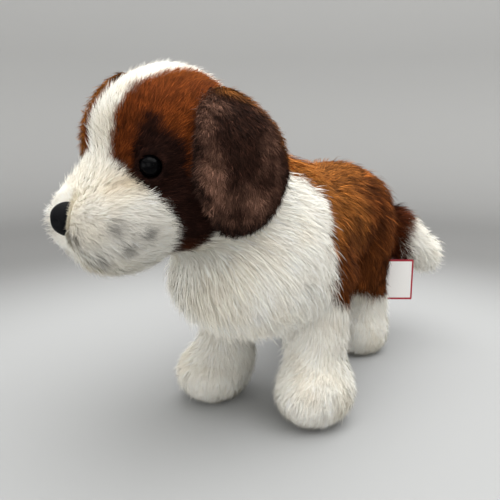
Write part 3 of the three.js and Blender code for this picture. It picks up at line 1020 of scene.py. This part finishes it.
def make_camera():
    """A camera that sees the dog as the photograph does."""
    azimuth = math.radians(CAMERA_AZIMUTH)
    elevation = math.radians(CAMERA_ELEVATION)
    back = Vector((
        math.sin(azimuth) * math.cos(elevation),
        -math.cos(azimuth) * math.cos(elevation),
        math.sin(elevation),
    ))
    lens = bpy.data.cameras.new("camera")
    lens.lens = CAMERA_LENS_MM
    lens.sensor_width = 36
    lens.clip_start = 0.01
    camera = bpy.data.objects.new("camera", lens)
    bpy.context.scene.collection.objects.link(camera)
    camera.location = CAMERA_TARGET + back * CAMERA_DISTANCE
    camera.rotation_mode = "QUATERNION"
    camera.rotation_quaternion = (-back).to_track_quat("-Z", "Y")
    bpy.context.scene.camera = camera


def make_skin():
    """One stuffed skin with its ears, and all that the pile needs to know on it."""
    shells = [make_body_skin()] + [make_ear_skin(ear) for ear in EARS]
    corners, triangles, edges, shares = joined(shells)
    normals = normals_of(corners, triangles)
    depth, length, height = coat_fields(corners, shares)
    noise = spread(random.normal(size=len(corners)), edges, 4)
    broad = spread(random.normal(size=len(corners)), edges, 40)
    skin = dict(
        corners=corners,
        triangles=triangles,
        normals=normals,
        shares=shares,
        height=height,
        length=length,
        noise=noise / noise.std(),
        broad=broad / broad.std(),
        lie=lie_of_coat(corners, normals, shares, edges),
    )
    colour, root = markings(corners, shares, skin["noise"], skin["broad"])
    # The skin under the pile carries part of the same painted root shade
    shaded = colour * mix(root, 1.0, 0.35)[:, None]
    piece = coloured_mesh("skin", corners, triangles, shaded)
    skin["uv"] = unwrapped(piece)
    piece.data.materials.append(skin_material())
    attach(piece, "root")
    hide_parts(*PARTS)
    return skin


# How tufts are made: their segments and the taper of their width, the width in millimetres, the
# turn from the lie of the coat in degrees, how many gather in a lock and how far they are
# pulled together, their droop as a share of their length, how far they are shaded as the skin
# under them is, how much their colour varies, and the share that stray from their lock
LONG = dict(
    segments=3,
    taper=(0.8, 1.0, 0.7, 0.0),
    width=0.55,
    turn=11,
    lock=30,
    pull=0.5,
    droop=0.1,
    softness=0.92,
    variety=0.6,
    strays=0.08,
)
SHORT = dict(
    segments=2,
    taper=(0.9, 0.8, 0.0),
    width=0.36,
    turn=18,
    lock=9,
    pull=0.3,
    droop=0.0,
    softness=0.94,
    variety=0.5,
    strays=0.1,
)
LEG = dict(LONG, segments=2, taper=(0.9, 0.8, 0.0), lock=14, pull=0.3, width=0.42, turn=22)
EAR = dict(SHORT, lock=9, pull=0.4, width=0.36, turn=28, variety=0.6, softness=0.8, strays=0.03)
TAIL = dict(LONG, lock=14, pull=0.35, turn=22, strays=0.25)

# Coat pieces: the part they cover, which side of it, their style, tufts for each square
# millimetre of skin, and finish
COAT = [
    ("head", 1, SHORT, 4.5, "white_plush"),
    ("head", -1, SHORT, 1.9, "white_plush"),
    ("neck", 1, LONG, 2.6, "white_plush"),
    ("neck", -1, LONG, 1.8, "white_plush"),
    ("trunk", 1, LONG, 1.3, "rust_plush"),
    ("trunk", -1, LONG, 0.9, "rust_plush"),
    ("leg_front_left", 0, LEG, 2.4, "white_plush"),
    ("leg_front_right", 0, LEG, 1.8, "white_plush"),
    ("leg_hind_left", 0, LEG, 2.0, "white_plush"),
    ("leg_hind_right", 0, LEG, 1.2, "white_plush"),
    ("tail", 0, TAIL, 2.0, "rust_plush"),
    ("ear_left", 0, EAR, 4.2, "brown_plush"),
    ("ear_right", 0, EAR, 1.9, "brown_plush"),
]


def under_nose(points):
    """Where the nose covers the skin, which carries no pile there."""
    local = in_head(points) - nose_in_head
    share = np.hypot(local[:, 0] / BARE_HALF_WIDTH, local[:, 2] / BARE_HALF_HEIGHT)
    return (share < 1) & (local[:, 1] < BARE_REACH)


def make_coat(skin):
    """The pile, in pieces by part and side, each with its own style."""
    material = pile_material()
    owner = skin["shares"].argmax(1)[skin["triangles"][:, 0]]
    middle_line = skin["corners"][skin["triangles"]].mean(1)
    head_side = in_head(middle_line)[:, 0]
    bare = under_nose(middle_line)
    for part, side, style, density, slot in COAT:
        chosen = (owner == PARTS.index(part)) & ~bare
        across = head_side if part == "head" else middle_line[:, 0]
        if side:
            chosen &= (across > 0) == (side > 0)
        most = MOST_TRIANGLES // (2 * style["segments"] - 1)
        roots = Roots(skin, chosen, density, most)
        corners, triangles, colours, uv, normals = tuft_arrays(roots, style)
        name = "coat_" + part + {0: "", 1: "_left_half", -1: "_right_half"}[side]
        piece = coloured_mesh(name, corners, triangles, colours, uv, normals)
        piece.data.materials.append(material)
        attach(piece, "root")


def domed(name, node, material, shape):
    """A finely faceted plastic piece in a CAD node's place; shape moves its unit sphere."""
    work = bmesh.new()
    bmesh.ops.create_uvsphere(work, u_segments=48, v_segments=32, radius=1)
    points = shape(np.array([v.co for v in work.verts]))
    for corner, place in zip(work.verts, points):
        corner.co = place
    mesh = bpy.data.meshes.new(name)
    work.to_mesh(mesh)
    work.free()
    mesh.shade_smooth()
    piece = bpy.data.objects.new(name, mesh)
    bpy.context.scene.collection.objects.link(piece)
    mesh.materials.append(material)
    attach(piece, "root")
    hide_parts(node)


def make_eyes():
    """Black button eyes, polished."""
    gloss = plastic_material("acrylic, moulded and polished", EYE_BLACK, 0.1, 0.05)
    for node in ("eye_left", "eye_right"):
        low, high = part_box(node)
        radius = EYE_SHARE * (high.z - low.z) / 2
        place = middle(node) + np.array([0, 0, EYE_LIFT])
        domed(node + "_button", node, gloss, lambda p: place + p * radius)


def make_nose():
    """A black nose with nostrils and a groove under them."""
    satin = plastic_material("polypropylene, moulded satin", NOSE_BLACK, 0.62, 0.08)
    low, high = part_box("nose")
    half_height = (high.z - low.z) / 2 / MM

    def shape(p):
        wide = NOSE_HALF_WIDTH * (1 + NOSE_FLARE * p[:, 2])
        nostril = soft_spot(np.abs(p[:, 0]), p[:, 2], (0.42, -0.05), (0.2, 0.22))
        groove = np.exp(-((p[:, 0] / 0.1) ** 2)) * ease(0.0, 0.6, -p[:, 2])
        front = ease(0.0, 0.5, -p[:, 1])
        x = p[:, 0] * wide
        y = p[:, 1] * NOSE_HALF_DEPTH - NOSE_FORWARD
        y += (NOSTRIL_DEPTH * nostril + NOSE_GROOVE_DEPTH * groove) * front
        z = p[:, 2] * half_height * np.where(p[:, 2] > 0, NOSE_RISE, NOSE_DROP)
        return from_head(nose_in_head + np.stack([x, y, z], axis=1))

    domed("nose_button", "nose", satin, shape)


def make_trims():
    """The eyes, the nose, the tag and its tack."""
    make_eyes()
    make_nose()
    for node, material in (
        ("tag", card_material()),
        ("tag_tack", plastic_material("nylon, moulded", NYLON, 0.3, 0.5)),
    ):
        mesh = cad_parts[node].data
        mesh.materials.clear()
        mesh.materials.append(material)


make_camera()
make_lights()
lathe_stage()
make_coat(make_skin())
make_trims()
bpy.context.scene.view_settings.view_transform = "Standard"
